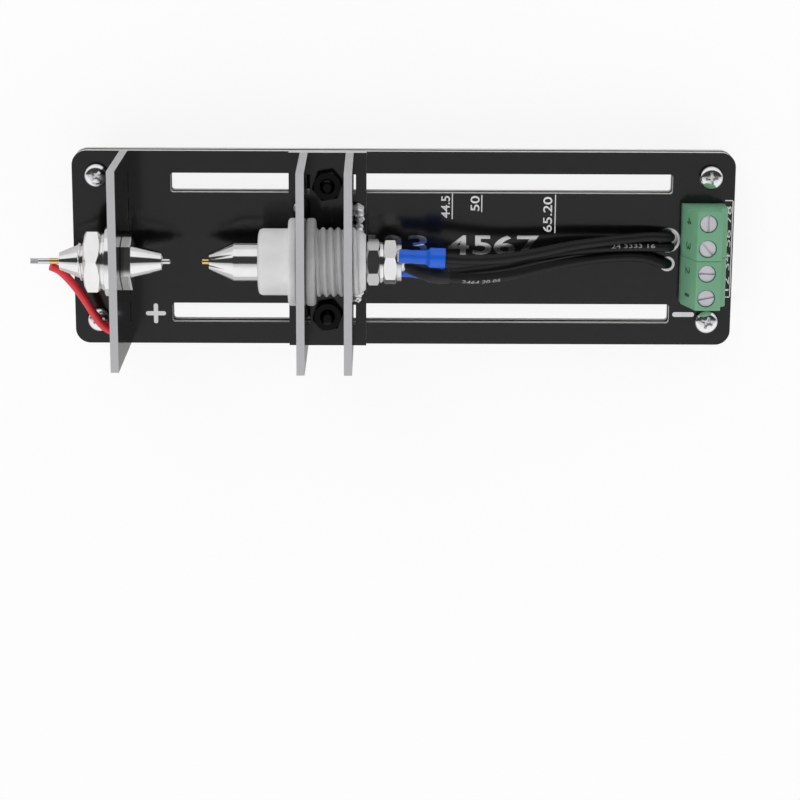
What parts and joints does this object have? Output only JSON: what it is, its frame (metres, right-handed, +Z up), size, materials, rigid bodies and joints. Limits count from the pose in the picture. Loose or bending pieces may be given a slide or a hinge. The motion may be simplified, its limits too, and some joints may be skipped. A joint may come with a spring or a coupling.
{
  "type": "battery test holder",
  "caption": "Adjustable four-wire holder for testing round cells: a fixed and a sprung sliding electrode on a slotted circuit board with screw terminals.",
  "frame": {"origin": "floor level, under the middle of the holder's overall length and width", "axes": "+X from the fixed electrode towards the screw terminals, +Y across the board, +Z up"},
  "size_m": [0.142, 0.04, 0.0421],
  "materials": {
    "board_black": "glossy black circuit board",
    "feet_brass": "turned brass",
    "spacer_nylon": "nylon",
    "screw_steel": "bright plated",
    "electrode_metal": "turned and plated",
    "gold_plate": "gold plated",
    "silver_plate": "bright plated",
    "insulator_plastic": "satin",
    "bushing_nylon": "translucent nylon",
    "spring_steel": "drawn wire",
    "solder": "bright solder",
    "terminal_green": "moulded satin",
    "terminal_steel": "plated",
    "sleeve_blue": "soft vinyl",
    "shrink_black": "heat shrink",
    "lead_black": "silicone insulation",
    "lead_red": "silicone insulation"
  },
  "bodies": {
    "base": {"base_board": "board_black", "cover_board": "board_black", "board_spacers": "spacer_nylon", "standoffs": "feet_brass", "corner_screws": "screw_steel", "fixed_plate": "board_black", "fixed_plate_solder": "solder", "fixed_electrode": "electrode_metal", "fixed_electrode_nut": "electrode_metal", "fixed_lock_washer": "electrode_metal", "contact_washer": "electrode_metal", "fixed_insulator": "insulator_plastic", "fixed_probe_barrel": "gold_plate", "fixed_probe_socket": "silver_plate", "red_lead": "lead_red", "lead_eyelets": "solder", "board_joints": "solder", "terminal_housing_a": "terminal_green", "terminal_housing_b": "terminal_green", "terminal_bars": "terminal_steel", "black_lead_upper": "lead_black", "black_lead_lower": "lead_black", "black_lead_sense": "lead_black"},
    "fixed_pin": {"fixed_sense_pin": "gold_plate"},
    "carriage": {"carriage_board": "board_black", "carriage_front_plate": "board_black", "carriage_rear_plate": "board_black", "carriage_solder": "solder", "bushing": "bushing_nylon", "bushing_nut": "bushing_nylon", "clamp_nut_front": "screw_steel", "clamp_nut_rear": "screw_steel", "plunger_spring": "spring_steel"},
    "thumb_front": {"thumb_screw_front": "screw_steel"},
    "thumb_rear": {"thumb_screw_rear": "screw_steel"},
    "plunger": {"moving_electrode": "electrode_metal", "stop_nut": "electrode_metal", "plunger_washers": "electrode_metal", "lock_nut": "electrode_metal", "moving_insulator": "insulator_plastic", "moving_probe_barrel": "gold_plate", "moving_probe_socket": "silver_plate", "ring_terminal_upper": "silver_plate", "ring_terminal_lower": "silver_plate", "terminal_sleeve_upper": "sleeve_blue", "terminal_sleeve_lower": "sleeve_blue", "heat_shrink": "shrink_black"},
    "moving_pin": {"moving_sense_pin": "gold_plate"},
    "screw_1": {"terminal_screw_1": "terminal_steel"},
    "clamp_1": {"wire_clamp_1": "terminal_steel"},
    "screw_2": {"terminal_screw_2": "terminal_steel"},
    "clamp_2": {"wire_clamp_2": "terminal_steel"},
    "screw_3": {"terminal_screw_3": "terminal_steel"},
    "clamp_3": {"wire_clamp_3": "terminal_steel"},
    "screw_4": {"terminal_screw_4": "terminal_steel"},
    "clamp_4": {"wire_clamp_4": "terminal_steel"}
  },
  "joints": [
    {"name": "carriage_slide", "type": "slide", "parent": "base", "child": "carriage", "axis": [1, 0, 0], "range_m": [-0.005, 0.0545], "deforming": ["black_lead_upper", "black_lead_lower", "black_lead_sense"]},
    {"name": "plunger_slide", "type": "slide", "parent": "carriage", "child": "plunger", "axis": [1, 0, 0], "range_m": [0, 0.004], "stiffness_N_per_m": 800, "springref_m": -0.0025, "deforming": ["plunger_spring"]},
    {"name": "moving_pin_slide", "type": "slide", "parent": "plunger", "child": "moving_pin", "axis": [1, 0, 0], "range_m": [0, 0.0016], "stiffness_N_per_m": 300, "springref_m": -0.001},
    {"name": "fixed_pin_slide", "type": "slide", "parent": "base", "child": "fixed_pin", "axis": [-1, 0, 0], "range_m": [0, 0.0016], "stiffness_N_per_m": 300, "springref_m": -0.001},
    {"name": "thumb_front_turn", "type": "hinge", "parent": "carriage", "child": "thumb_front", "pos_m": [-0.012, -0.0135, 0.01], "axis": [0, 0, 1], "continuous": true},
    {"name": "thumb_rear_turn", "type": "hinge", "parent": "carriage", "child": "thumb_rear", "pos_m": [-0.012, 0.0135, 0.01], "axis": [0, 0, 1], "continuous": true},
    {"name": "screw_1_turn", "type": "hinge", "parent": "base", "child": "screw_1", "pos_m": [0.0646, -0.00812, 0.024], "axis": [0, 0, 1], "range_deg": [-1080, 0]},
    {"name": "clamp_1_rise", "type": "slide", "parent": "base", "child": "clamp_1", "axis": [0, 0, 1], "range_m": [0, 0.0015]},
    {"name": "screw_2_turn", "type": "hinge", "parent": "base", "child": "screw_2", "pos_m": [0.0646, -0.00304, 0.024], "axis": [0, 0, 1], "range_deg": [-1080, 0]},
    {"name": "clamp_2_rise", "type": "slide", "parent": "base", "child": "clamp_2", "axis": [0, 0, 1], "range_m": [0, 0.0015]},
    {"name": "screw_3_turn", "type": "hinge", "parent": "base", "child": "screw_3", "pos_m": [0.0646, 0.00204, 0.024], "axis": [0, 0, 1], "range_deg": [-1080, 0]},
    {"name": "clamp_3_rise", "type": "slide", "parent": "base", "child": "clamp_3", "axis": [0, 0, 1], "range_m": [0, 0.0015]},
    {"name": "screw_4_turn", "type": "hinge", "parent": "base", "child": "screw_4", "pos_m": [0.0646, 0.00712, 0.024], "axis": [0, 0, 1], "range_deg": [-1080, 0]},
    {"name": "clamp_4_rise", "type": "slide", "parent": "base", "child": "clamp_4", "axis": [0, 0, 1], "range_m": [0, 0.0015]}
  ],
  "couplings": [
    {"joint": "screw_1_turn", "follows": "clamp_1_rise", "rad_per_m": -12566},
    {"joint": "screw_2_turn", "follows": "clamp_2_rise", "rad_per_m": -12566},
    {"joint": "screw_3_turn", "follows": "clamp_3_rise", "rad_per_m": -12566},
    {"joint": "screw_4_turn", "follows": "clamp_4_rise", "rad_per_m": -12566}
  ]
}
